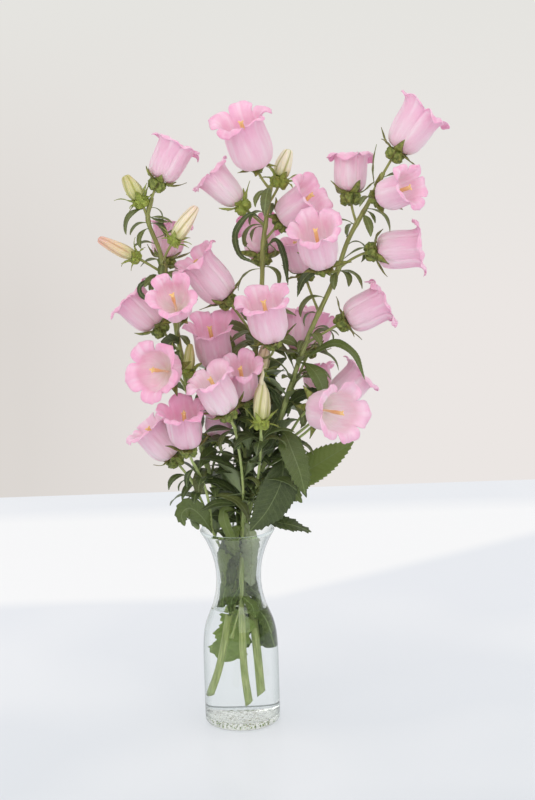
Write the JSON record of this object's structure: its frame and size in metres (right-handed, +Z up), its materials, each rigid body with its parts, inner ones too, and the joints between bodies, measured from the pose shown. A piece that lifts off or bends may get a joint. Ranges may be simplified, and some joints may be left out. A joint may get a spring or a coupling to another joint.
{
  "type": "canterbury bells in vase",
  "caption": "Bouquet of cut pink canterbury bells with buds and leaves, standing in a clear glass carafe vase of water.",
  "frame": {"origin": "centre of the vase's flat base, where it stands", "axes": "+Z up through the vase's mouth, +Y to the back, +X to the right as seen from the front"},
  "size_m": [0.3731, 0.2138, 0.6846],
  "materials": {
    "glass": "gloss",
    "water": "gloss",
    "stem": "satin",
    "leaf": "satin",
    "petal": "matte",
    "bud": "matte"
  },
  "bodies": {
    "root": {"bell_centre_1": "petal", "bell_centre_2": "petal", "bell_centre_3": "petal", "bell_centre_4": "petal", "bell_centre_5": "petal", "bell_left_1": "petal", "bell_left_2": "petal", "bell_left_3": "petal", "bell_left_4": "petal", "bell_left_5": "petal", "bell_left_6": "petal", "bell_left_7": "petal", "bell_left_8": "petal", "bell_middle_1": "petal", "bell_middle_2": "petal", "bell_middle_3": "petal", "bell_middle_4": "petal", "bell_middle_5": "petal", "bell_middle_6": "petal", "bell_middle_7": "petal", "bell_right_1": "petal", "bell_right_10": "petal", "bell_right_2": "petal", "bell_right_3": "petal", "bell_right_4": "petal", "bell_right_5": "petal", "bell_right_6": "petal", "bell_right_7": "petal", "bell_right_8": "petal", "bell_right_9": "petal", "bud_centre_1": "bud", "bud_front_1": "bud", "bud_left_1": "bud", "bud_left_2": "bud", "bud_left_3": "bud", "bud_left_4": "bud", "bud_middle_1": "bud", "leaf_arch_left": "leaf", "leaf_arch_right": "leaf", "leaf_back_right": "leaf", "leaf_front_large": "leaf", "leaf_front_right": "leaf", "leaf_in_neck": "leaf", "leaf_in_water_middle": "leaf", "leaf_in_water_right": "leaf", "leaf_left_curl": "leaf", "leaf_left_dark": "leaf", "leaf_middle_curl": "leaf", "leaf_middle_drop": "leaf", "leaf_over_rim": "leaf", "leaf_right_drop": "leaf", "leaf_right_low": "leaf", "leaf_rim_left": "leaf", "leaf_rim_right": "leaf", "stem_left": "stem", "stem_middle": "stem", "stem_right": "stem", "vase": "glass", "water": "water"}
  },
  "joints": []
}
